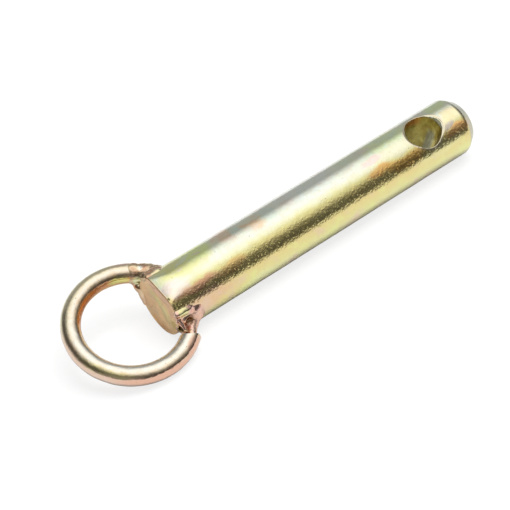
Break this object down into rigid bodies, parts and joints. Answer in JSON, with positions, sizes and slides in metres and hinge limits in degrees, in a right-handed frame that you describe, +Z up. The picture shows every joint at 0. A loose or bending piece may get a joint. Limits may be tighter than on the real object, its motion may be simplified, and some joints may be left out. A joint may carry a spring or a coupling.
{
  "type": "top link pin",
  "caption": "Solid round linkage pin with a chamfered tip, a countersunk cross hole for a linch pin and a bent rod ring welded to its sides.",
  "frame": {"origin": "on the surface that the pin lies on, below the middle of its bounding box", "axes": "+X along the bar from the sawn ring end to the chamfered tip, +Z up with the bar and the ring's near edge resting on the surface, -Y the side on which the ring touches down"},
  "size_m": [0.1478, 0.0382, 0.019],
  "materials": {
    "plated_bar": "yellow zinc plated and passivated, turned bar",
    "plated_rod": "yellow zinc plated and passivated, drawn rod",
    "plated_weld": "yellow zinc plated weld metal"
  },
  "bodies": {
    "root": {"pin_shank": "plated_bar", "ring_handle": "plated_rod", "weld_near": "plated_weld", "weld_far": "plated_weld"}
  },
  "joints": []
}
